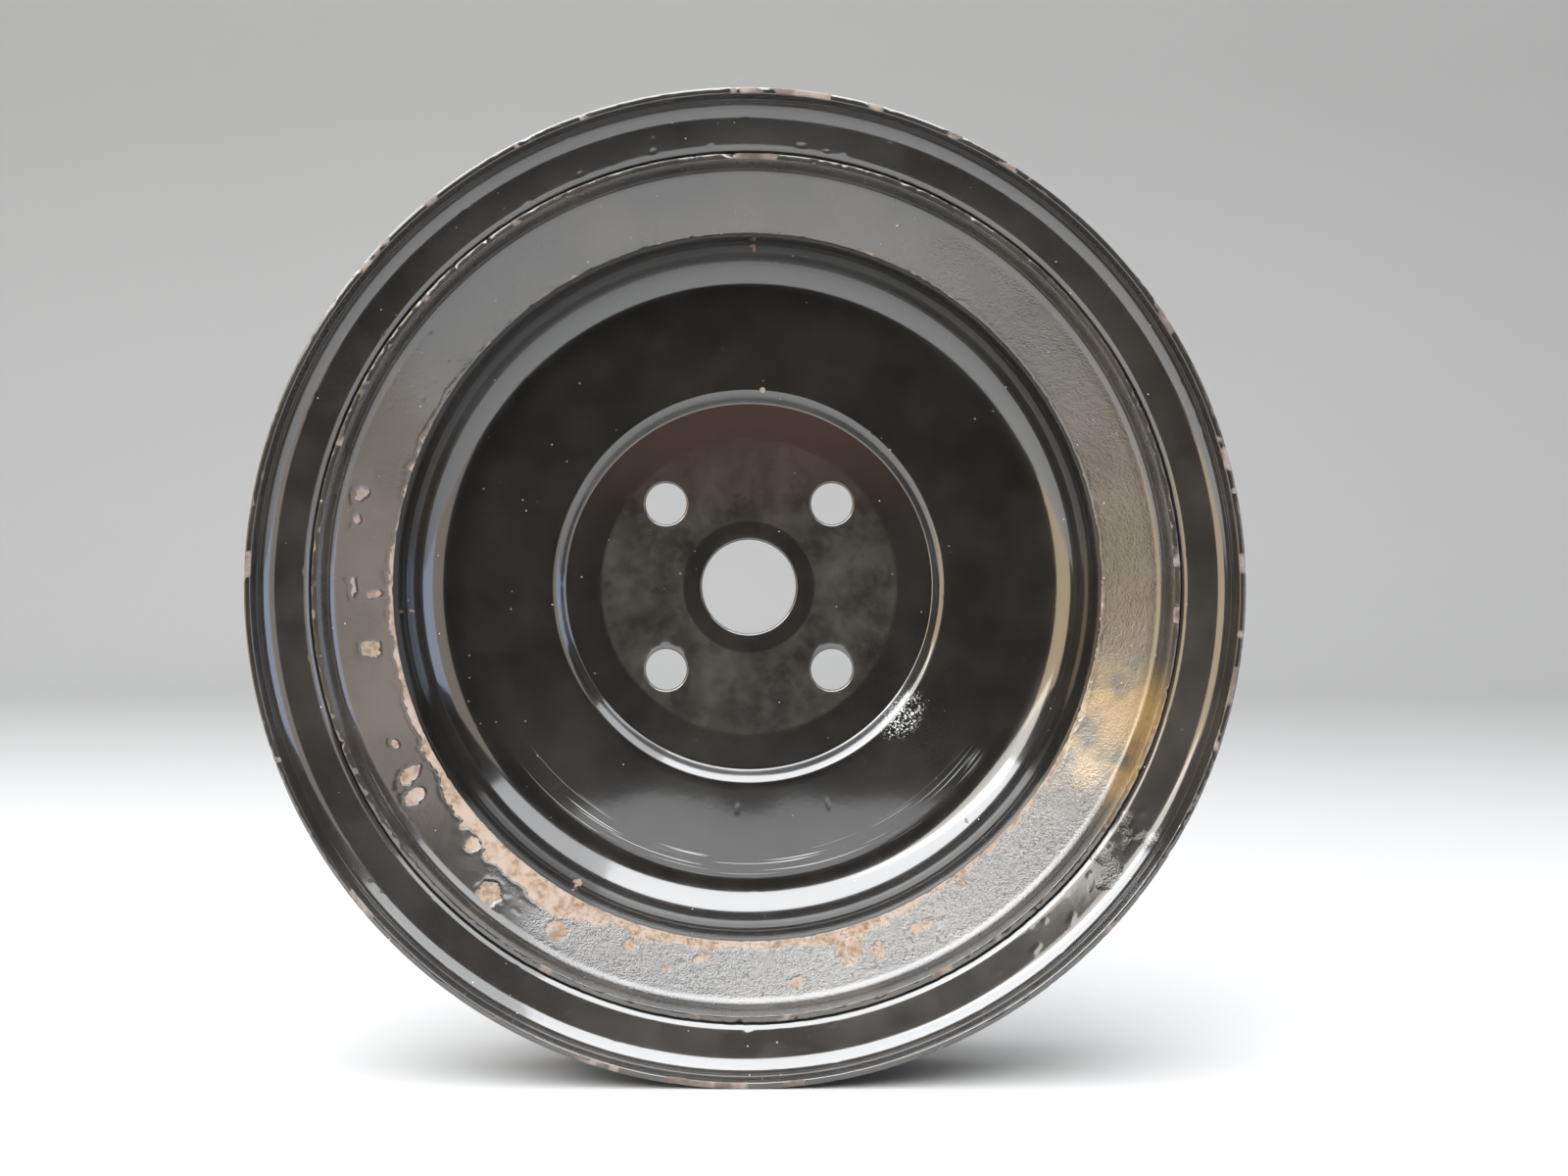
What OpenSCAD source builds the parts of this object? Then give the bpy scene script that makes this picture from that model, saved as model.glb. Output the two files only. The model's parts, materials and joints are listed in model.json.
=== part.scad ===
// Pressed-steel V-belt pulley: a deep hub cup, a rear flange and a support ring, welded together.
// The axis of the pulley is Y. The open rear side faces -Y and the hub's nose faces +Y.
// The origin is the centre of the bore, on the rear face of the hub.

/* [Rims and groove] */
// Outside diameter of the two rims
rim_d = 154; // [150:1:162]
// Diameter at the bottom of the belt groove
groove_root_d = 138.8; // [136:0.2:140]
// Width of the groove at its bottom
groove_root_w = 6.1; // [5.6:0.1:6.6]
// Angle between the groove's two walls
groove_angle = 36; // [32:1:40]
// Distance from the hub's rear face back to the edge of the rear rim
rear_rim_depth = 35; // [34:0.5:38]
// Inner radius of the bend between each groove wall and its rim lip
lip_bend = 3.5; // [2:0.1:3.6]

/* [Sheet metal] */
// Thickness of the rear flange
flange_t = 1; // [0.8:0.1:1.2]
// Thickness of the support ring
ring_t = 1; // [0.8:0.1:1.2]
// Thickness of the hub cup
cup_t = 2; // [1.6:0.1:2.4]

/* [Hub] */
// Diameter of the centre bore
bore_d = 16; // [12:0.5:22]
// Diameter of each bolt hole
bolt_hole_d = 7; // [5:0.1:9]
// Diameter of the circle through the bolt holes' centres
bolt_circle_d = 40; // [36:0.5:44]
// Number of bolt holes
bolt_count = 4; // [3:1:6]
// Diameter at the middle of the step round the hub
hub_d = 65; // [60:0.5:68]
// Depth of that step
hub_step = 1.5; // [1.2:0.1:2.4]

/* [Cup] */
// Inside diameter of the cup
cup_d = 115; // [112:0.5:117]
// Distance from the hub's rear face back to the cup's mouth
cup_depth = 15.8; // [14:0.2:16.8]
// Angle at which the cup's flange rises outwards from the mouth
flange_slope = 22; // [16:1:24]
// Inner radius of the bend between the web and the cup's wall
web_bend = 8.1; // [5:0.1:8.6]

/* [Support ring] */
// Diameter of the hole in the support ring
ring_hole_d = 115.4; // [108:0.2:116]
// Height of the support ring's lip above the foot of the rear flange
ring_lip_h = 6.8; // [5:0.1:7.2]
// Inner radius of the bend between the ring's face and its lip
ring_bend = 2.4; // [1:0.1:3]

/* [Hidden] */
$fn = 96;

// How many flats stand for the curve of one bend, and how steeply the hub's step rises
bend_steps = 6;
step_angle = 40;
// Inner radii of the tight bends
tight_bend = 0.6;
mouth_bend = 1;
// How far the cup's flange runs on beyond the groove's root, and how far a drill runs past
seat_margin = 1;
past = 1;

rim_r = rim_d / 2;
root_r = groove_root_d / 2;
half_angle = groove_angle / 2;
crest_r = root_r + seat_margin;
ring_lip_r = root_r - flange_t - ring_t / 2;
foot_y = seat_y(root_r);
groove_middle_y = foot_y - groove_root_w / 2;
front_rim_y = 2 * groove_middle_y + rear_rim_depth;
step_half_run = hub_step / tan(step_angle) / 2;

// Rear face of the cup's conical flange, which the support ring lies on, at radius r
function seat_y(r) = -cup_depth - (r - cup_d / 2) * tan(flange_slope);
// Middle of the cup's flange, and of the support ring on it
function cup_flange_y(r) = seat_y(r) + cup_t / 2 / cos(flange_slope);
function ring_y(r) = seat_y(r) - ring_t / 2 / cos(flange_slope);
// Middle of the sheet in each groove wall
function rear_wall_y(r) = foot_y - groove_root_w - (r - root_r) * tan(half_angle)
    - flange_t / 2 / cos(half_angle);
function front_wall_y(r) = cup_flange_y(crest_r) + (r - crest_r) * tan(half_angle);

// Each path below is the middle of a sheet, as [radius, y, bend radius at that corner]
hub_cup_path = [
    [0, cup_t / 2],
    [hub_d / 2 - step_half_run, cup_t / 2, tight_bend + cup_t / 2],
    [hub_d / 2 + step_half_run, cup_t / 2 - hub_step, tight_bend + cup_t / 2],
    [cup_d / 2 + cup_t / 2, cup_t / 2 - hub_step, web_bend + cup_t / 2],
    [cup_d / 2 + cup_t / 2, cup_flange_y(cup_d / 2 + cup_t / 2), mouth_bend + cup_t / 2],
    [crest_r, cup_flange_y(crest_r), mouth_bend + cup_t / 2],
    [rim_r - cup_t / 2, front_wall_y(rim_r - cup_t / 2), lip_bend + cup_t / 2],
    [rim_r - cup_t / 2, front_rim_y]
];
rear_flange_path = [
    [rim_r - flange_t / 2, -rear_rim_depth],
    [rim_r - flange_t / 2, rear_wall_y(rim_r - flange_t / 2), lip_bend + flange_t / 2],
    [root_r - flange_t / 2, rear_wall_y(root_r - flange_t / 2), tight_bend + flange_t / 2],
    [root_r - flange_t / 2, foot_y]
];
support_ring_path = [
    [ring_hole_d / 2, ring_y(ring_hole_d / 2)],
    [ring_lip_r, ring_y(ring_lip_r), ring_bend + ring_t / 2],
    [ring_lip_r, foot_y - ring_lip_h]
];

function place(corner) = [corner[0], corner[1]];
function direction(from, to) = (place(to) - place(from)) / norm(place(to) - place(from));
function left_of(v) = [-v[1], v[0]];
function turned(v, angle) = [
    v[0] * cos(angle) - v[1] * sin(angle),
    v[0] * sin(angle) + v[1] * cos(angle)
];

// Points with their normals along the middle of one bend
function bend(before, corner, after) =
    let (
        u = direction(before, corner),
        v = direction(corner, after),
        turn = atan2(cross(u, v), u * v),
        reach = sign(turn) * corner[2],
        start = place(corner) - u * corner[2] * tan(abs(turn) / 2),
        centre = start + left_of(u) * reach
    )
    [
        for (k = [0:bend_steps])
        let (normal = turned(left_of(u), turn * k / bend_steps))
        [centre - normal * reach, normal]
    ];

// Points with their normals along the middle of a whole sheet
function middle_of(path) =
    let (last = len(path) - 1)
    concat(
        [[place(path[0]), left_of(direction(path[0], path[1]))]],
        [for (i = [1:last - 1]) each bend(path[i - 1], path[i], path[i + 1])],
        [[place(path[last]), left_of(direction(path[last - 1], path[last]))]]
    );

// The closed outline of a sheet of thickness t
function sheet_outline(path, t) =
    let (middle = middle_of(path), last = len(middle) - 1)
    concat(
        [for (m = middle) m[0] + m[1] * t / 2],
        [for (i = [last:-1:0]) middle[i][0] - middle[i][1] * t / 2]
    );

// Turns what is built about Z onto the pulley's axis
module on_axis() {
    rotate([-90, 0, 0])
        children();
}

module pressed_sheet(path, t) {
    on_axis()
        rotate_extrude()
            polygon(sheet_outline(path, t));
}

module hub_drilling(d) {
    on_axis()
        translate([0, 0, -past])
            cylinder(d = d, h = cup_t + 2 * past);
}

// Hub, web, cup, flange, front groove wall and front rim, drawn from one sheet
module hub_cup() {
    color([0.16, 0.14, 0.13])
        difference() {
            pressed_sheet(hub_cup_path, cup_t);
            hub_drilling(bore_d);
            for (i = [0:bolt_count - 1])
                rotate([0, 180 / bolt_count + 360 * i / bolt_count, 0])
                    translate([bolt_circle_d / 2, 0, 0])
                        hub_drilling(bolt_hole_d);
        }
}

// Rear rim, rear groove wall and the bottom of the groove
module rear_flange() {
    color([0.24, 0.23, 0.21])
        pressed_sheet(rear_flange_path, flange_t);
}

// Dished ring that lies on the cup's conical flange, with a lip that holds the rear flange
module support_ring() {
    color([0.36, 0.38, 0.39])
        pressed_sheet(support_ring_path, ring_t);
}

hub_cup();
rear_flange();
support_ring();
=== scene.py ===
"""A pressed-steel V-belt pulley, seen from its open rear side.

Three sheet-metal pressings are turned from bent-sheet profiles, with pits, flaked paint, chipped edges and
punched holes in the mesh, and get procedural materials of worn gloss paint and rust, with a few reflections
and glints painted into the colour.
The axis of the pulley is Y, and angles are counted from +X towards +Z. Lengths are metres.
"""
import itertools
import json
import math

import bpy
import numpy as np
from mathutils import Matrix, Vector, geometry


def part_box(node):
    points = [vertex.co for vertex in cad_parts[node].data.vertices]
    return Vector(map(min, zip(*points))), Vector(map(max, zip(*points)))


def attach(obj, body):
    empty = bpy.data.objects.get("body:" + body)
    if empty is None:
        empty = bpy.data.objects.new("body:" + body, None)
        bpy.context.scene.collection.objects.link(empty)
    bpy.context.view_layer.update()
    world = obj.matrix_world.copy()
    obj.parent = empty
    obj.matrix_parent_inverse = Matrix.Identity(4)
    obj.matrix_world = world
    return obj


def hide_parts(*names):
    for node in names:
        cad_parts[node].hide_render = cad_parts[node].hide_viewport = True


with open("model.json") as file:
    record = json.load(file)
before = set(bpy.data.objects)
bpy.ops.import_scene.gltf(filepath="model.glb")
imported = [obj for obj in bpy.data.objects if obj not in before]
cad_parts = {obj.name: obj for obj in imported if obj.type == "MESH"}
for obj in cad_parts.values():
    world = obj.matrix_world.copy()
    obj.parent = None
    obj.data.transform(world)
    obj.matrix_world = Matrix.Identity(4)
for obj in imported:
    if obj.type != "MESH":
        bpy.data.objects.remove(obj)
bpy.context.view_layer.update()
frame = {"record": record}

MM = 0.001

# ---------------------------------------------------------------- sizes, from the frame where it has them
mounts = {mount["name"]: mount for mount in frame["record"]["mounts"]}
BORE_R = mounts["bore"]["dims"]["r_mm"] * MM
HOLE_R = mounts["bolt_circle"]["dims"]["hole_r_mm"] * MM
BOLT_CIRCLE_R = mounts["bolt_circle"]["dims"]["pcd_mm"] / 2 * MM
HOLE_COUNT = mounts["bolt_circle"]["dims"]["count"]

RIM_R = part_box("rear_flange")[1].x
REAR_RIM_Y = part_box("rear_flange")[0].y
RING_LIP_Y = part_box("support_ring")[0].y
ROOT_IN_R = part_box("support_ring")[1].x
FOOT_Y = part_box("rear_flange")[1].y
CUP_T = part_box("hub_cup")[1].y

FLANGE_T = 1.0 * MM
RING_T = 1.0 * MM
RING_HOLE_R = 57.7 * MM
CUP_R = 57.5 * MM
HUB_STEP_R = 32.5 * MM
HUB_STEP = 1.5 * MM
GROOVE_ROOT_W = 6.1 * MM
GROOVE_SLOPE = math.tan(math.radians(18))
STEP_SLOPE = math.tan(math.radians(40))
SEAT_SLOPE = math.tan(math.radians(22))
SEAT_MARGIN = 1.0 * MM
ROOT_R = ROOT_IN_R + FLANGE_T
FRONT_RIM_Y = 2 * (FOOT_Y - GROOVE_ROOT_W / 2) - REAR_RIM_Y

LIP_BEND = 3.5 * MM
WEB_BEND = 8.1 * MM
RING_BEND = 2.4 * MM
TIGHT_BEND = 0.6 * MM
MOUTH_BEND = 1.0 * MM

# ---------------------------------------------------------------- the camera
LENS_MM = 47.1
SENSOR_MM = 36
CAMERA_DISTANCE = 315 * MM
CAMERA_PITCH_DEGREES = 0.77

# ---------------------------------------------------------------- how finely the meshes are cut
SEGMENTS = {"hub_cup": 720, "rear_flange": 960, "support_ring": 1280}
ARC_STEP = math.radians(5)
EDGE_STEPS = 3


# ---------------------------------------------------------------- noise and masks
def hashed(cells, seed):
    """A number from -1 to 1 for each whole-number cell."""
    mixed = np.full(len(cells), (seed * 0x9E3779B9 + 0x7F4A7C15) & 0xFFFFFFFF, np.uint64)
    for axis, factor in enumerate((0x85EBCA6B, 0xC2B2AE35, 0x27D4EB2F)):
        mixed ^= (cells[:, axis].astype(np.int64) & 0xFFFFFFFF).astype(np.uint64) * np.uint64(factor)
        mixed &= np.uint64(0xFFFFFFFF)
        mixed ^= mixed >> np.uint64(15)
        mixed = (mixed * np.uint64(0x2C1B3C6D)) & np.uint64(0xFFFFFFFF)
        mixed ^= mixed >> np.uint64(12)
    return mixed.astype(float) / 0x7FFFFFFF - 1


def noise(places, size, seed):
    """Smooth noise from -1 to 1, with lumps of about that size."""
    scaled = places / size
    cell = np.floor(scaled)
    share = scaled - cell
    share = share * share * (3 - 2 * share)
    total = np.zeros(len(places))
    for corner in itertools.product((0, 1), repeat=3):
        weight = np.prod(np.where(corner, share, 1 - share), axis=1)
        total += weight * hashed(cell + corner, seed)
    return total


def layered(places, size, seed, layers=3):
    """Several layers of noise, each half the size and strength of the last."""
    return sum(noise(places, size / 2**i, seed + i) / 2**i for i in range(layers))


def smooth(value, low, high):
    """0 at low, 1 at high, with a soft rise between."""
    share = np.clip((value - low) / (high - low), 0, 1)
    return share * share * (3 - 2 * share)


def window(degrees, start, end, soft):
    """1 between two angles, counted anticlockwise, falling to 0 over soft degrees on each side."""
    middle, half = (start + end) / 2, (end - start) / 2
    away = np.abs((degrees - middle + 180) % 360 - 180)
    return 1 - smooth(away, half, half + soft)


# ---------------------------------------------------------------- bent-sheet profiles
def left_of(v):
    return np.array([-v[1], v[0]])


def unit(v):
    return v / np.hypot(*v)


def turned(v, angle):
    c, s = math.cos(angle), math.sin(angle)
    return np.array([v[0] * c - v[1] * s, v[0] * s + v[1] * c])


def middle_of(path, spacing):
    """Points and left-hand normals along the middle of a sheet, given as (radius, y, bend radius) corners."""
    corners = [np.array(c[:2]) for c in path]
    found = []
    at = corners[0]
    for i in range(1, len(path)):
        u = unit(corners[i] - corners[i - 1])
        is_last = i == len(path) - 1
        if is_last:
            turn, reach, stop = 0.0, 0.0, corners[i]
        else:
            v = unit(corners[i + 1] - corners[i])
            turn = math.atan2(u[0] * v[1] - u[1] * v[0], u @ v)
            reach = math.copysign(path[i][2], turn)
            stop = corners[i] - u * path[i][2] * math.tan(abs(turn) / 2)
        steps = max(1, math.ceil(np.hypot(*(stop - at)) / spacing))
        found += [(at + (stop - at) * k / steps, left_of(u)) for k in range(steps + is_last)]
        if not is_last:
            centre = stop + left_of(u) * reach
            steps = max(2, math.ceil(max(abs(turn) / ARC_STEP, abs(turn * reach) / spacing)))
            for k in range(steps):
                normal = turned(left_of(u), turn * k / steps)
                found.append((centre - normal * reach, normal))
            at = centre - turned(left_of(u), turn) * reach
    return np.array([f[0] for f in found]), np.array([f[1] for f in found])


def rounded_end(point, normal, outward, t, edge):
    """The cut end of a sheet: its two corners rounded, from the left face round to the right face."""
    found = []
    for side in (1, -1):
        centre = point - outward * edge + normal * side * (t / 2 - edge)
        for k in range(EDGE_STEPS + 1):
            angle = math.pi / 2 * (k / EDGE_STEPS if side > 0 else 1 - k / EDGE_STEPS)
            facing = normal * side * math.cos(angle) + outward * math.sin(angle)
            found.append((centre + facing * edge, facing))
    return found


def sheet_profile(path, t, edge, fine, coarse, open_start=False):
    """The outline of a sheet: left face, far end, right face and, unless it is open, near end.

    The left face is cut coarsely and the right face, which is the one in view, finely.
    Each point is (radius, y, normal's radius, normal's y, is it on the right face, is it on a cut end)."""
    rows = []
    middle, normals = middle_of(path, coarse)
    ends = slice(0 if open_start else 1, -1)
    rows += [(*p, *n, 0, 0) for p, n in zip((middle + normals * t / 2)[ends], normals[ends])]
    outward = unit(middle[-1] - middle[-2])
    rows += [(*p, *n, 0, 1) for p, n in rounded_end(middle[-1], normals[-1], outward, t, edge)]
    first_point, first_normal, inward = middle[0], normals[0], unit(middle[0] - middle[1])
    middle, normals = middle_of(path, fine)
    rows += [(*p, *-n, 1, 0) for p, n in reversed(list(zip((middle - normals * t / 2)[ends], normals[ends])))]
    if not open_start:
        rows += [(*p, *n, 0, 1) for p, n in rounded_end(first_point, -first_normal, inward, t, edge)]
    return np.array(rows)


def beside_seat(r, offset):
    """Y of a face that lies so far in front of the conical seat between the cup and the ring."""
    return FOOT_Y - (r - ROOT_R) * SEAT_SLOPE + offset * math.hypot(1, SEAT_SLOPE)


class Turned:
    """A profile turned about the pulley's axis: one row a profile point, one column an angle."""

    def __init__(self, profile, segments):
        self.rows, self.columns = len(profile), segments
        angle = np.arange(segments) * 2 * math.pi / segments
        self.angle = np.tile(angle, self.rows)
        self.degrees = np.degrees(self.angle)
        spread = [np.repeat(profile[:, k], segments) for k in range(6)]
        self.r, self.y, self.normal_r, self.normal_y, self.in_view, self.cut_end = spread
        self.places = self.points()

    def points(self, lift=0.0):
        """Where the vertices are, each lifted off the sheet by so much."""
        r, y = self.r + self.normal_r * lift, self.y + self.normal_y * lift
        return np.stack([r * np.cos(self.angle), y, r * np.sin(self.angle)], axis=1)

    def faces(self, closed=True):
        """Quads with their normals away from the metal."""
        row = np.arange(self.rows if closed else self.rows - 1)[:, None]
        column = np.arange(self.columns)[None, :]
        after, beside = (row + 1) % self.rows, (column + 1) % self.columns
        corners = ((row, column), (row, beside), (after, beside), (after, column))
        index = [a * self.columns + b for a, b in corners]
        return np.stack([i.ravel() for i in np.broadcast_arrays(*index)], axis=1).tolist()


def make_piece(name, points, faces, masks):
    """A smooth mesh object with one number a vertex for each mask."""
    mesh = bpy.data.meshes.new(name)
    mesh.from_pydata(points.tolist(), [], faces)
    for mask, values in masks.items():
        attribute = mesh.attributes.new(mask, "FLOAT", "POINT")
        attribute.data.foreach_set("value", np.ascontiguousarray(values, np.float32))
    mesh.shade_smooth()
    mesh.validate()
    piece = bpy.data.objects.new(name, mesh)
    bpy.context.scene.collection.objects.link(piece)
    return piece


# ---------------------------------------------------------------- wear that the mesh and the materials share
PAINT_T = 0.09 * MM
# Places where the ring's paint has flaked off to rust: angle, radius, length round the ring and width, in mm
RUST_SPOTS = (
    (166, 64.0, 2.6, 2.2), (170, 63.7, 1.0, 0.8), (180, 63.4, 2.6, 1.2), (181, 60.0, 0.8, 2.0),
    (189, 61.8, 2.4, 2.8), (204, 62.2, 1.1, 0.9), (209, 62.6, 2.0, 3.2), (212, 63.2, 1.6, 2.8),
    (220, 59.4, 1.6, 2.6), (223, 60.6, 2.2, 2.4), (226, 59.4, 2.6, 2.8), (230, 64.4, 4.6, 3.6),
    (241, 63.6, 3.6, 3.2), (252, 61.0, 1.6, 1.2), (258, 62.6, 1.4, 1.6), (263, 60.4, 2.6, 1.4),
    (270, 62.8, 1.4, 1.4), (277, 64.2, 2.6, 2.0), (286, 60.6, 3.6, 4.2), (290, 62.4, 2.0, 2.4),
    (298, 61.6, 4.4, 1.6), (306, 59.4, 2.4, 1.2),
)
# Dots of rust inside the cup, in the same way
WALL_SPOTS = (
    (240, 57.0, 1.2, 1.0), (89, 56.8, 1.0, 0.9), (313, 54.2, 0.9, 0.9),
    (184, 56.6, 0.8, 0.7), (86, 33.4, 0.9, 0.9),
)
# How wide the rust is along the edge of the ring's hole: angle and width in mm
RUST_FRINGE = (
    (0, -0.3), (90, -0.4), (140, -0.3), (180, 0.4), (205, 0.8), (215, 1.4), (228, 3.0), (240, 3.4),
    (250, 1.9), (262, 1.2), (276, 1.0), (288, 1.6), (300, 0.8), (325, 0.3), (345, -0.2), (360, -0.3),
)


def spot_cover(sheet, spots, ragged):
    """How far inside the nearest spot each vertex is, in mm: 0 at its ragged edge, negative outside."""
    cover = np.full(len(sheet.r), -9.0)
    for degrees, radius, length, width in spots:
        across = (sheet.r / MM - radius) / (width / 2)
        along = ((sheet.degrees - degrees + 180) % 360 - 180) * math.pi / 180 * radius / (length / 2)
        size = min(length, width) / 2
        cover = np.maximum(cover, (1 - np.hypot(across, along)) * size)
    return cover + ragged


def ring_wear(ring):
    """Rust and pitting on the support ring, and the relief that they leave."""
    face = ring.in_view * (1 - ring.cut_end)
    on_flat = face * (1 - smooth(ring.r, ROOT_IN_R - 2.6 * MM, ROOT_IN_R - 1.8 * MM))
    ragged = layered(ring.places, 2.2 * MM, 11) * 0.55 + noise(ring.places, 0.5 * MM, 15) * 0.2
    angles, widths = zip(*RUST_FRINGE)
    reach = np.interp(ring.degrees, angles, widths) * (1 + 0.5 * noise(ring.places, 5 * MM, 21))
    fringe = reach - (ring.r - RING_HOLE_R) / MM + ragged
    cover = np.maximum(spot_cover(ring, RUST_SPOTS, ragged), fringe)
    rust = smooth(cover, -0.1, 0.1) * np.maximum(on_flat, ring.cut_end * (ring.r < RING_HOLE_R + MM))

    heavy = window(ring.degrees, 244, 326, 9)
    right = window(ring.degrees, -34, 58, 10)
    patchy = smooth(layered(ring.places, 9 * MM, 31), 0.1, 0.8)
    pitting = np.clip(heavy + 0.22 * right + 0.03 + 0.12 * patchy * window(ring.degrees, 60, 240, 10), 0, 1)
    pitting *= 1 - 0.6 * smooth(ring.r, ROOT_IN_R - 4 * MM, ROOT_IN_R - 2 * MM)

    lumps = layered(ring.places, 1.2 * MM, 41, 2) * 0.022 + noise(ring.places, 0.55 * MM, 45) * 0.022
    craters = smooth(noise(ring.places, 1.1 * MM, 51), 0.62, 0.9) * 0.09
    fine_pits = smooth(noise(ring.places, 0.7 * MM, 57), 0.66, 0.9) * 0.05
    relief = (lumps - craters * smooth(pitting, 0.1, 0.5)) * pitting - fine_pits * (0.3 + 0.7 * pitting)
    curl = 0.03 * np.exp(-((cover + 0.35) / 0.3) ** 2)
    rusty = layered(ring.places, 0.9 * MM, 61) * 0.035 - PAINT_T / MM
    lift = (relief * (1 - rust) + rusty * rust + curl) * on_flat
    chips = -0.16 * smooth(noise(ring.places, 0.9 * MM, 71), 0.25, 0.9) * ring.cut_end
    burr = 0.05 * layered(ring.places, 1.3 * MM, 75) * ring.cut_end
    return rust, pitting * face, (lift + chips + burr) * MM


def rim_wear(rim, outer_edge):
    """Chips and dings along a rim's cut edge, and small pits on its faces."""
    at_edge = rim.cut_end * outer_edge
    bites = smooth(layered(rim.places, 2.4 * MM, 81), 0.55, 1.2)
    small = smooth(noise(rim.places, 0.8 * MM, 87), 0.35, 0.9)
    chips = -(0.22 * bites + 0.08 * small) * at_edge
    wave = 0.04 * layered(rim.places, 14 * MM, 91, 2) * rim.in_view
    pits = -0.05 * smooth(noise(rim.places, 0.9 * MM, 95), 0.72, 0.95) * rim.in_view
    return (chips + wave + pits) * MM


def cup_wear(cup):
    """A faint wave in the pressed sheet, small pits, and a nibbled front rim."""
    at_edge = cup.cut_end * (cup.r > RIM_R - 2 * CUP_T)
    chips = -0.12 * smooth(layered(cup.places, 2.2 * MM, 101), 0.5, 1.1) * at_edge
    wave = 0.03 * layered(cup.places, 16 * MM, 105, 2)
    pits = -0.035 * smooth(noise(cup.places, 0.9 * MM, 109), 0.8, 0.97)
    return (chips + (wave + pits) * (1 - cup.cut_end) * smooth(cup.r, 31 * MM, 34 * MM)) * MM


# ---------------------------------------------------------------- the hub's plate, with its punched holes
PLATE_R = 30 * MM
PLATE_GRID = 1.5 * MM
HOLE_SIDES = 96
PUNCH_ROUNDING = 0.35 * MM
BREAK_ROUNDING = 0.15 * MM


def circle_points(centre, radius, count):
    angle = np.arange(count) * 2 * math.pi / count
    return np.stack([centre[0] + radius * np.cos(angle), centre[1] + radius * np.sin(angle)], axis=1)


def hub_holes():
    """Centre and radius of each hole in the hub, in the X and Z directions."""
    first = math.pi / HOLE_COUNT
    angles = [first + 2 * math.pi * k / HOLE_COUNT for k in range(HOLE_COUNT)]
    bolts = [(BOLT_CIRCLE_R * math.cos(a), BOLT_CIRCLE_R * math.sin(a), HOLE_R) for a in angles]
    return [(0.0, 0.0, BORE_R)] + bolts


def plate_layout(rim_count, rounding):
    """Points and triangles of one face of the hub's plate. The rim's points come first, then each hole's."""
    holes = hub_holes()
    loops = [circle_points((0, 0), PLATE_R, rim_count)]
    loops += [circle_points((x, z), r + rounding, HOLE_SIDES) for x, z, r in holes]
    edges, start = [], 0
    for loop in loops:
        count = len(loop)
        edges += [(start + k, start + (k + 1) % count) for k in range(count)]
        start += count
    for radius in np.arange(BORE_R + PLATE_GRID, PLATE_R - PLATE_GRID / 2, PLATE_GRID):
        ring = circle_points((0, 0), radius, round(2 * math.pi * radius / PLATE_GRID))
        clear = [np.hypot(ring[:, 0] - x, ring[:, 1] - z) > r + PLATE_GRID for x, z, r in holes]
        loops.append(ring[np.all(clear, axis=0)])
    flat = np.concatenate(loops)
    made = geometry.delaunay_2d_cdt([Vector(p) for p in flat.tolist()], edges, [], 0, 1e-9)
    source = [origin[0] for origin in made[3]]
    triangles = [[source[i] for i in face] for face in made[2]]
    middles = np.array([flat[t].mean(axis=0) for t in triangles])
    in_hole = [np.hypot(middles[:, 0] - x, middles[:, 1] - z) < r + rounding for x, z, r in holes]
    kept = ~np.any(in_hole, axis=0)
    return flat, [t for t, keep in zip(triangles, kept) if keep]


def hole_wall(radius):
    """Radius and y down a punched hole's wall, from its rounded rear edge to its sharper front edge."""
    rows = []
    for k in range(EDGE_STEPS + 1):
        angle = math.pi / 2 * k / EDGE_STEPS
        rows.append((radius + PUNCH_ROUNDING * (1 - math.sin(angle)), PUNCH_ROUNDING * (1 - math.cos(angle))))
    for k in range(EDGE_STEPS + 1):
        angle = math.pi / 2 * k / EDGE_STEPS
        rows.append((radius + BREAK_ROUNDING * (1 - math.cos(angle)),
                     CUP_T - BREAK_ROUNDING * (1 - math.sin(angle))))
    return rows


def close_hub(cup, points, faces):
    """Adds the hub's plate and its holes' walls to the turned cup, sharing the cup's first and last rows."""
    segments = cup.columns
    points, faces = points.tolist(), list(faces)
    layouts = {0.0: plate_layout(segments, PUNCH_ROUNDING), CUP_T: plate_layout(segments, BREAK_ROUNDING)}
    number = {}
    for y, (flat, triangles) in layouts.items():
        first = (cup.rows - 1) * segments if y == 0 else 0
        number[y] = [first + k for k in range(segments)]
        number[y] += range(len(points), len(points) + len(flat) - segments)
        points += [(x, y, z) for x, z in flat[segments:].tolist()]
        for a, b, c in triangles:
            a, b, c = number[y][a], number[y][b], number[y][c]
            faces.append((a, b, c) if y == 0 else (a, c, b))
    for k, (x, z, radius) in enumerate(hub_holes()):
        first = segments + k * HOLE_SIDES
        rings = [number[0.0][first:first + HOLE_SIDES]]
        for r, y in hole_wall(radius)[1:-1]:
            rings.append(list(range(len(points), len(points) + HOLE_SIDES)))
            points += [(px, y, pz) for px, pz in circle_points((x, z), r, HOLE_SIDES).tolist()]
        rings.append(number[CUP_T][first:first + HOLE_SIDES])
        for near, far in itertools.pairwise(rings):
            for i in range(HOLE_SIDES):
                j = (i + 1) % HOLE_SIDES
                faces.append((near[i], near[j], far[j], far[i]))
    return np.array(points), faces


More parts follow.
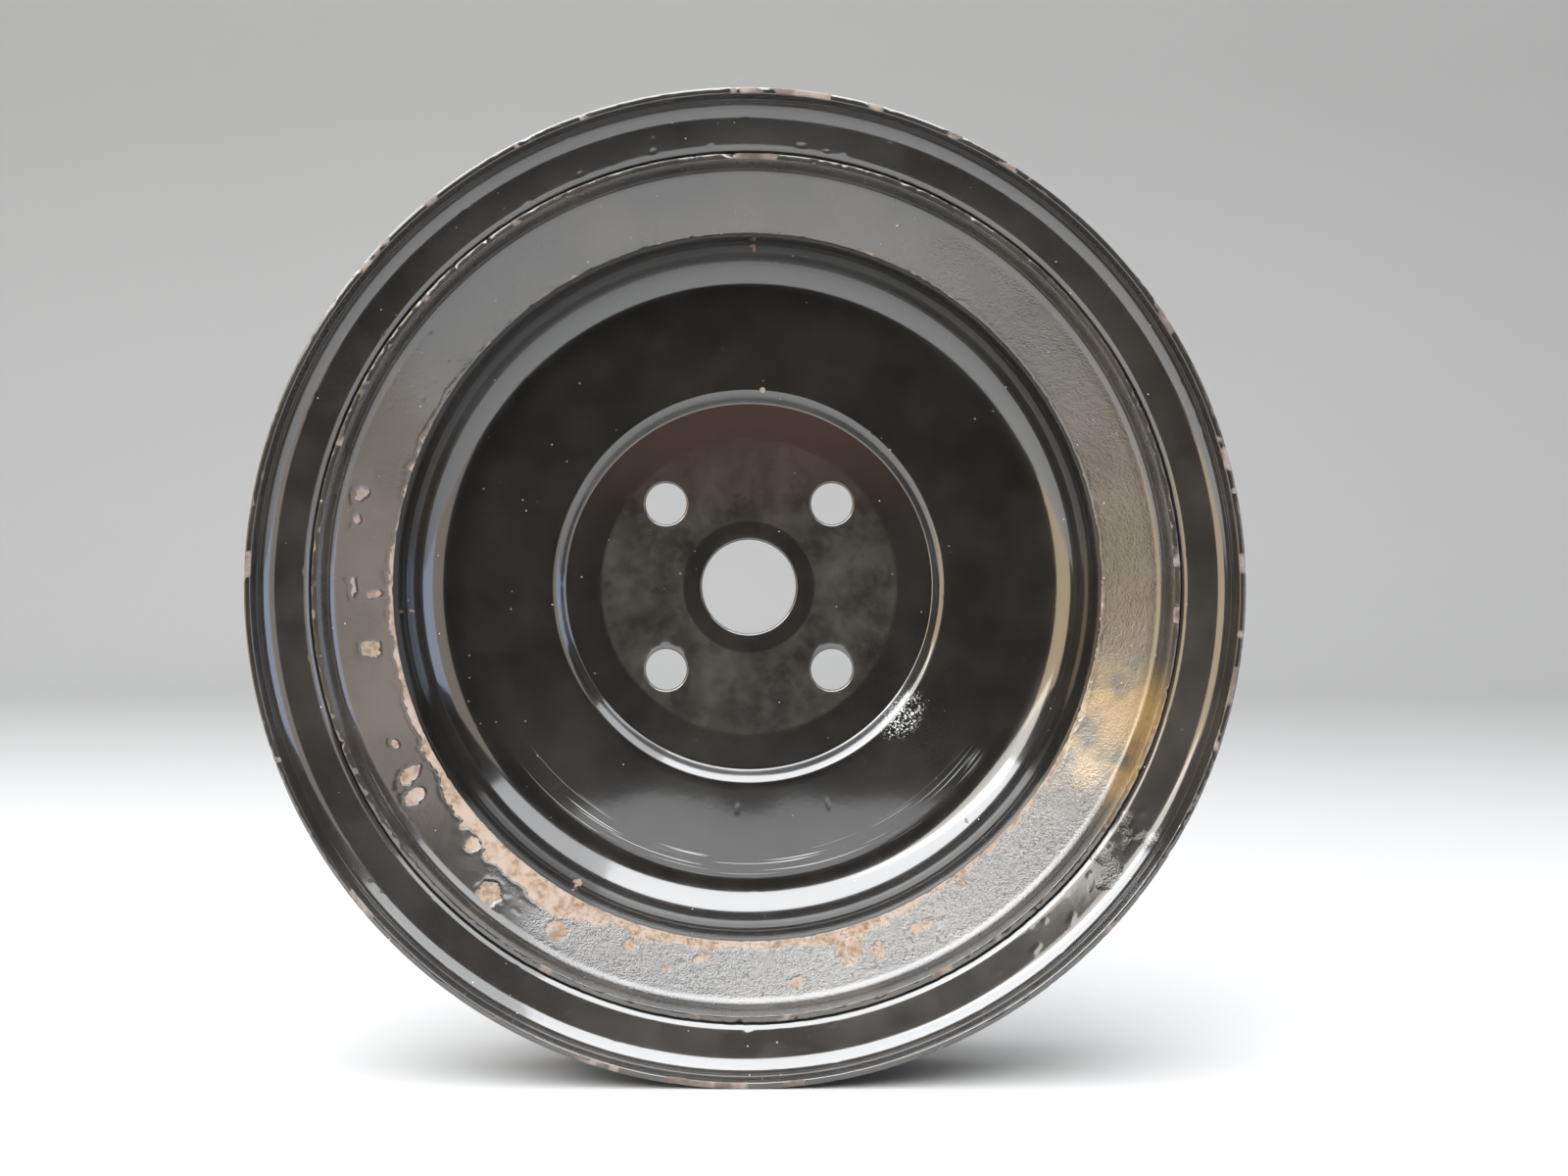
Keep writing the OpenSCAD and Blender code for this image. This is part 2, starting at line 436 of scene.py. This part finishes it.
# ---------------------------------------------------------------- the three pressings
def make_ring():
    lip_r = ROOT_IN_R - RING_T / 2
    path = [
        (RING_HOLE_R, beside_seat(RING_HOLE_R, -RING_T / 2)),
        (lip_r, beside_seat(lip_r, -RING_T / 2), RING_BEND + RING_T / 2),
        (lip_r, RING_LIP_Y),
    ]
    profile = sheet_profile(path, RING_T, 0.12 * MM, 0.28 * MM, 1.2 * MM)
    ring = Turned(profile, SEGMENTS["support_ring"])
    rust, pitting, lift = ring_wear(ring)
    # Painted reflection: a golden-brown patch on the ring's lower right that stands in for a warm reflection
    painted_gold_reflection = window(ring.degrees, 332, 343, 8) * smooth(layered(ring.places, 5 * MM, 121), -0.9, 0.3)
    bare = ring.cut_end * (ring.r > RING_HOLE_R + MM) * smooth(layered(ring.places, 4 * MM, 125), 0.1, 0.8)
    masks = {"rust": rust, "pitting": pitting, "bare": bare, "painted_gold_reflection": painted_gold_reflection}
    return make_piece("ring_of_worn_steel", ring.points(lift), ring.faces(), masks)


def make_flange():
    lip_r, root_r = RIM_R - FLANGE_T / 2, ROOT_R - FLANGE_T / 2

    def wall_y(r):
        outer_face_y = FOOT_Y - GROOVE_ROOT_W - (r - ROOT_R) * GROOVE_SLOPE
        return outer_face_y - FLANGE_T / 2 * math.hypot(1, GROOVE_SLOPE)

    path = [
        (root_r, FOOT_Y),
        (root_r, wall_y(root_r), TIGHT_BEND + FLANGE_T / 2),
        (lip_r, wall_y(lip_r), LIP_BEND + FLANGE_T / 2),
        (lip_r, REAR_RIM_Y),
    ]
    rim = Turned(sheet_profile(path, FLANGE_T, 0.2 * MM, 0.4 * MM, 0.9 * MM), SEGMENTS["rear_flange"])
    lift = rim_wear(rim, rim.r > RIM_R - 2 * FLANGE_T)
    in_patches = smooth(layered(rim.places, 4 * MM, 131), -0.2, 0.6)
    bare = rim.cut_end * in_patches * (rim.r > RIM_R - 2 * FLANGE_T)
    patch = window(rim.degrees, 320, 327, 5) * smooth(layered(rim.places, 3 * MM, 135), 0.1, 0.7)
    masks = {"pitting": 0.35 * patch * rim.in_view, "bare": bare}
    return make_piece("rear_flange_with_lip", rim.points(lift), rim.faces(), masks)


def make_cup():
    wall_r, web_y = CUP_R + CUP_T / 2, CUP_T / 2 - HUB_STEP
    half_run = HUB_STEP / STEP_SLOPE / 2
    crest_r, lip_r = ROOT_R + SEAT_MARGIN, RIM_R - CUP_T / 2
    crest_y = beside_seat(crest_r, CUP_T / 2)
    path = [
        (PLATE_R, CUP_T / 2),
        (HUB_STEP_R - half_run, CUP_T / 2, TIGHT_BEND + CUP_T / 2),
        (HUB_STEP_R + half_run, web_y, TIGHT_BEND + CUP_T / 2),
        (wall_r, web_y, WEB_BEND + CUP_T / 2),
        (wall_r, beside_seat(wall_r, CUP_T / 2), MOUTH_BEND + CUP_T / 2),
        (crest_r, crest_y, MOUTH_BEND + CUP_T / 2),
        (lip_r, crest_y + (lip_r - crest_r) * GROOVE_SLOPE, LIP_BEND + CUP_T / 2),
        (lip_r, FRONT_RIM_Y),
    ]
    profile = sheet_profile(path, CUP_T, 0.25 * MM, 0.8 * MM, 1.0 * MM, open_start=True)
    cup = Turned(profile, SEGMENTS["hub_cup"])
    scuff = np.exp(-(((cup.degrees - 320) / 7) ** 2) - ((cup.r / MM - 34.3) / 2.6) ** 2) * cup.in_view
    bare = cup.cut_end * smooth(layered(cup.places, 4 * MM, 141), -0.4, 0.6)
    points, faces = close_hub(cup, cup.points(cup_wear(cup)), cup.faces(closed=False))
    # Painted glints: fine circular lines made pale only in the arc at the bottom of the web, where the
    # ceiling light falls
    lit_rub_glints = window(cup.degrees, 222, 318, 8) * np.exp(-((cup.r / MM - 47.5) / 1.6) ** 4) * cup.in_view
    dots = spot_cover(cup, WALL_SPOTS, noise(cup.places, 0.5 * MM, 151) * 0.15)
    rust = smooth(dots, -0.1, 0.1) * cup.in_view
    masks = {"rust": rust, "bare": bare, "scuff": scuff, "lit_rub_glints": lit_rub_glints}
    extra = len(points) - len(cup.r)
    masks = {name: np.concatenate([values, np.zeros(extra)]) for name, values in masks.items()}
    masks["hub"] = np.concatenate([cup.in_view * (1 - smooth(cup.r, 31 * MM, 31.8 * MM)), np.ones(extra)])
    return make_piece("hub_cup_pressing", points, faces, masks)


# ---------------------------------------------------------------- materials
class Nodes:
    """One material's node tree, built one call a node."""

    def __init__(self, name):
        self.material = bpy.data.materials.new(name)
        self.material.use_nodes = True
        self.tree = self.material.node_tree
        self.tree.nodes.clear()

    def put(self, socket, value):
        if isinstance(value, bpy.types.NodeSocket):
            self.tree.links.new(value, socket)
        else:
            socket.default_value = value

    def add(self, kind, settings=None, **inputs):
        node = self.tree.nodes.new("ShaderNode" + kind)
        for key, value in (settings or {}).items():
            setattr(node, key, value)
        for key, value in inputs.items():
            self.put(node.inputs[key.replace("_", " ")], value)
        return node

    def math(self, operation, a, b=0.0):
        node = self.add("Math", {"operation": operation})
        self.put(node.inputs[0], a)
        self.put(node.inputs[1], b)
        return node.outputs[0]

    def rise(self, value, low, high, start=0.0, end=1.0):
        node = self.add("MapRange", {"interpolation_type": "SMOOTHSTEP"}, Value=value)
        for key, number in (("From Min", low), ("From Max", high), ("To Min", start), ("To Max", end)):
            node.inputs[key].default_value = number
        return node.outputs[0]

    def mix(self, share, a, b):
        node = self.add("Mix", {"data_type": "RGBA"})
        self.put(node.inputs[0], share)
        self.put(node.inputs[6], a)
        self.put(node.inputs[7], b)
        return node.outputs[2]

    def noise(self, vector, size, detail=2.0, roughness=0.5):
        node = self.add("TexNoise", Vector=vector, Scale=1 / size, Detail=detail, Roughness=roughness)
        return node.outputs["Fac"]

    def mask(self, name):
        return self.add("Attribute", {"attribute_name": name}).outputs["Fac"]

    def specks(self, vector, spacing, size, share):
        """Small round specks: 1 inside a speck. Only a share of the cells hold one."""
        cells = self.add("TexVoronoi", Vector=vector, Scale=1 / spacing)
        chance = self.add("SeparateColor", Color=cells.outputs["Color"]).outputs[0]
        near = self.rise(cells.outputs["Distance"], size, size * 0.6)
        return self.math("MULTIPLY", near, self.math("LESS_THAN", chance, share))


def grey(value, warmth=0.0):
    return (value * (1 + warmth), value, value * (1 - warmth), 1.0)


def rust_colour(n, place):
    grain = n.rise(n.noise(place, 0.9 * MM, 3), 0.35, 0.65)
    orange = n.mix(grain, (0.17, 0.115, 0.080, 1), (0.28, 0.205, 0.148, 1))
    return n.mix(n.rise(n.noise(place, 3.5 * MM), 0.42, 0.62), orange, (0.29, 0.23, 0.19, 1))


def bare_colour(n, place):
    grain = n.rise(n.noise(place, 3.0 * MM, 4), 0.36, 0.64)
    return n.mix(grain, (0.080, 0.061, 0.050, 1), (0.19, 0.158, 0.138, 1))


def worn_paint(name, film, faded, gloss, orange_peel):
    """Old gloss paint on pressed steel, with dust, rust, bare edges, pits and scuffs where the masks say, and
    some painted reflections and glints: a golden one on the ring, a reddish one at the top of the hub and
    pale glints on lines round the web.
    """
    n = Nodes(name)
    place = n.add("TexCoord").outputs["Object"]
    x, _, z = n.add("SeparateXYZ", Vector=place).outputs
    flat = n.add("CombineXYZ", X=x, Z=z).outputs[0]
    radius = n.add("VectorMath", {"operation": "LENGTH"}).outputs["Value"]
    n.put(radius.node.inputs[0], flat)
    rust, pitting, bare = n.mask("rust"), n.mask("pitting"), n.mask("bare")

    tone = n.rise(n.noise(place, 16 * MM, 4, 0.6), 0.38, 0.66)
    colour = n.mix(tone, film, faded)
    # Painted reflection: a golden-brown tint where the mask says, standing in for a warm reflection on the
    # ring
    colour = n.mix(n.math("MULTIPLY", n.mask("painted_gold_reflection"), 0.9), colour, (0.19, 0.12, 0.045, 1))
    dust = n.math("MAXIMUM", n.specks(place, 2.4 * MM, 0.055, 0.30), n.specks(place, 0.9 * MM, 0.07, 0.06))
    colour = n.mix(n.math("MULTIPLY", dust, 0.6), colour, (0.75, 0.74, 0.70, 1))
    scratchy = n.rise(n.noise(place, 0.35 * MM, 3, 0.7), 0.54, 0.62)
    scuffed = n.math("MULTIPLY", scratchy, n.rise(n.mask("scuff"), 0.15, 0.7))
    colour = n.mix(scuffed, colour, (0.72, 0.75, 0.74, 1))

    seat = n.math("MULTIPLY", n.rise(radius, 11.0 * MM, 11.4 * MM), n.rise(radius, 25.6 * MM, 24.8 * MM))
    seat = n.math("MULTIPLY", seat, n.mask("hub"))
    rubbed_haze = n.math("MULTIPLY", n.rise(n.noise(place, 9 * MM, 6, 0.75), 0.30, 0.75), seat)
    colour = n.mix(n.math("MULTIPLY", rubbed_haze, 0.5), colour, (0.085, 0.078, 0.068, 1))
    # Painted reflection: a reddish tint on the hub that grows towards the top
    painted_red_reflection = n.math("MULTIPLY", n.rise(z, 8 * MM, 30 * MM), n.mask("hub"))
    colour = n.mix(n.math("MULTIPLY", painted_red_reflection, 0.8), colour, (0.040, 0.024, 0.019, 1))

    # Painted glints: fine scratch lines round the web, pale grey where the mask says (the lit bottom arc)
    angle = n.math("ARCTAN2", z, x)
    across = n.math("DIVIDE", radius, 0.16 * MM)
    along = n.math("MULTIPLY", angle, 2.5)
    grooves = n.add("CombineXYZ", X=across, Y=along).outputs[0]
    rub_glint = n.rise(n.add("TexNoise", Vector=grooves, Scale=1.0, Detail=0.0).outputs["Fac"], 0.66, 0.74)
    rub_glint = n.math("MULTIPLY", rub_glint, n.mask("lit_rub_glints"))
    colour = n.mix(rub_glint, colour, (0.55, 0.56, 0.55, 1))

    crisp = n.math("ADD", rust, n.math("MULTIPLY", n.math("SUBTRACT", n.noise(place, 0.4 * MM), 0.5), 0.5))
    rusty = n.rise(crisp, 0.42, 0.58)
    colour = n.mix(rusty, colour, rust_colour(n, place))
    chipped = n.rise(n.math("ADD", bare, n.noise(place, 3.2 * MM, 4)), 1.20, 1.50)
    colour = n.mix(chipped, colour, bare_colour(n, place))

    pocked = n.rise(n.noise(place, 0.6 * MM, 3, 0.7), 0.46, 0.38)
    pocked = n.math("MULTIPLY", pocked, n.rise(pitting, 0.25, 0.9))
    colour = n.mix(n.math("MULTIPLY", pocked, 0.5), colour, (0.022, 0.019, 0.017, 1))

    worn = n.math("MAXIMUM", rusty, chipped)
    dulled = n.math("MAXIMUM", worn, n.math("MULTIPLY", pocked, 0.45))
    mottled = n.rise(n.noise(place, 5 * MM, 3), 0.3, 0.7, gloss, gloss + 0.06)
    roughness = n.add("Mix", {"data_type": "FLOAT"})
    n.put(roughness.inputs[0], n.math("MAXIMUM", worn, n.math("MAXIMUM", scuffed, dust)))
    n.put(roughness.inputs[2], mottled)
    roughness.inputs[3].default_value = 0.8

    peel = n.math("MULTIPLY", n.noise(place, 1.1 * MM, 2), orange_peel)
    pits = n.math("MULTIPLY", n.noise(place, 0.34 * MM, 3, 0.65), n.math("MULTIPLY", pitting, 0.17))
    grain = n.math("MULTIPLY", n.noise(place, 0.3 * MM, 3, 0.7), n.math("MULTIPLY", worn, 0.045))
    height = n.math("ADD", n.math("ADD", peel, pits), grain)
    bump = n.add("Bump", Height=height, Distance=MM, Strength=1.0).outputs["Normal"]

    shader = n.add("BsdfPrincipled", Base_Color=colour, Roughness=roughness.outputs[0], Normal=bump)
    shader.inputs["IOR"].default_value = 1.5
    shader.inputs["Coat Roughness"].default_value = 0.07
    shader.inputs["Coat IOR"].default_value = 1.9
    n.put(shader.inputs["Coat Weight"], n.rise(dulled, 0.0, 1.0, 0.8, 0.0))
    n.put(shader.inputs["Coat Normal"], bump)
    n.put(n.add("OutputMaterial").inputs["Surface"], shader.outputs[0])
    return n.material


# ---------------------------------------------------------------- stage, lights and camera
def plain(name, colour, roughness):
    n = Nodes(name)
    place = n.add("TexCoord").outputs["Object"]
    tint = n.mix(n.noise(place, 0.25, 2), colour, tuple(c * 0.97 for c in colour[:3]) + (1,))
    shader = n.add("BsdfPrincipled", Base_Color=tint, Roughness=roughness)
    n.put(n.add("OutputMaterial").inputs["Surface"], shader.outputs[0])
    return n.material


def make_stage():
    """A pale floor under the rim that curves up into a backdrop far behind."""
    floor_z, half_width, near_y, far_y, bend, top = -RIM_R, 5.0, -0.33, 0.9, 0.5, 2.0
    line = [(near_y, floor_z), (far_y, floor_z)]
    line += [(far_y + bend * math.sin(a), floor_z + bend * (1 - math.cos(a)))
             for a in np.linspace(0, math.pi / 2, 24)[1:]]
    line.append((far_y + bend, top))
    points = [(x, y, z) for y, z in line for x in (-half_width, half_width)]
    faces = [(2 * i, 2 * i + 1, 2 * i + 3, 2 * i + 2) for i in range(len(line) - 1)]
    mesh = bpy.data.meshes.new("floor")
    mesh.from_pydata(points, [], faces)
    mesh.shade_smooth()
    floor = bpy.data.objects.new("floor", mesh)
    bpy.context.scene.collection.objects.link(floor)
    mesh.materials.append(plain("pale_floor", grey(0.38), 0.7))


def soft_light(name, place, aim, width, height, brightness, colour):
    """An area light that is equally bright whatever its size."""
    light = bpy.data.lights.new(name, "AREA")
    light.shape, light.size, light.size_y = "RECTANGLE", width, height
    light.energy, light.color = brightness * math.pi * width * height, colour
    lamp = bpy.data.objects.new(name, light)
    lamp.location = place
    lamp.rotation_euler = (Vector(aim) - Vector(place)).to_track_quat("-Z", "Y").to_euler()
    bpy.context.scene.collection.objects.link(lamp)


def make_lights():
    """Two ceiling panels, cool and brown light on the right, warm light on the left and a lit backdrop."""
    centre = (0, -0.02, 0)
    soft_light("ceiling", (-0.35, -0.56, 0.62), (-0.35, -0.56, 0), 1.3, 1.52, 7.5, (0.96, 0.98, 1.0))
    soft_light("ceiling_right", (0.55, -0.56, 0.62), (0.55, -0.56, 0), 0.5, 1.52, 3.5, (0.96, 0.98, 1.0))
    soft_light("left_front", (-0.60, -0.88, 0.44), centre, 0.75, 0.42, 4.7, (1.0, 0.96, 0.90))
    soft_light("cool_right", (0.95, -0.42, 0.05), centre, 0.6, 0.5, 2.6, (0.66, 0.76, 1.0))
    soft_light("brown_right", (0.62, -0.82, 0.0), centre, 0.5, 0.7, 1.3, (1.0, 0.88, 0.78))
    soft_light("warm_left", (-0.82, -0.72, 0.03), centre, 0.7, 0.55, 2.9, (1.0, 0.80, 0.52))
    soft_light("backdrop_wash", (0, 0.75, 1.1), (0, 1.35, 0.2), 6.0, 0.4, 4.5, (1.0, 1.0, 1.0))


def make_world():
    world = bpy.data.worlds.new("room")
    world.use_nodes = True
    tree = world.node_tree
    tree.nodes.clear()
    dim, pale = tree.nodes.new("ShaderNodeBackground"), tree.nodes.new("ShaderNodeBackground")
    dim.inputs["Color"].default_value = grey(0.025)
    pale.inputs["Color"].default_value = grey(0.80)
    seen = tree.nodes.new("ShaderNodeLightPath").outputs["Is Camera Ray"]
    mix = tree.nodes.new("ShaderNodeMixShader")
    tree.links.new(seen, mix.inputs[0])
    tree.links.new(dim.outputs[0], mix.inputs[1])
    tree.links.new(pale.outputs[0], mix.inputs[2])
    tree.links.new(mix.outputs[0], tree.nodes.new("ShaderNodeOutputWorld").inputs["Surface"])
    bpy.context.scene.world = world


def make_camera():
    """About 0.3 m from the rim and almost level with the bore, looking in at the open side."""
    camera = bpy.data.cameras.new("camera")
    camera.lens, camera.sensor_width = LENS_MM, SENSOR_MM
    camera.clip_start = 0.01
    eye = bpy.data.objects.new("camera", camera)
    eye.location = (6 * MM, REAR_RIM_Y - CAMERA_DISTANCE, 4.5 * MM)
    eye.rotation_euler = (math.radians(90 - CAMERA_PITCH_DEGREES), 0, 0)
    bpy.context.scene.collection.objects.link(eye)
    bpy.context.scene.camera = eye


# ---------------------------------------------------------------- putting it together
def dress(piece, node, material):
    piece.data.materials.append(material)
    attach(piece, "root")
    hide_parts(node)


# Each paint: its film, its faded film, its roughness and its orange peel in mm
cup = make_cup()
dress(cup, "hub_cup", worn_paint("cup_paint", grey(0.008, 0.14), grey(0.013, 0.14), 0.16, 0.002))
flange = make_flange()
dress(flange, "rear_flange", worn_paint("flange_paint", grey(0.014, 0.12), grey(0.024, 0.12), 0.16, 0.002))
ring = make_ring()
dress(ring, "support_ring", worn_paint("ring_paint", grey(0.022, 0.14), grey(0.040, 0.18), 0.22, 0.003))

make_stage()
make_lights()
make_world()
make_camera()
bpy.context.scene.view_settings.view_transform = "Standard"
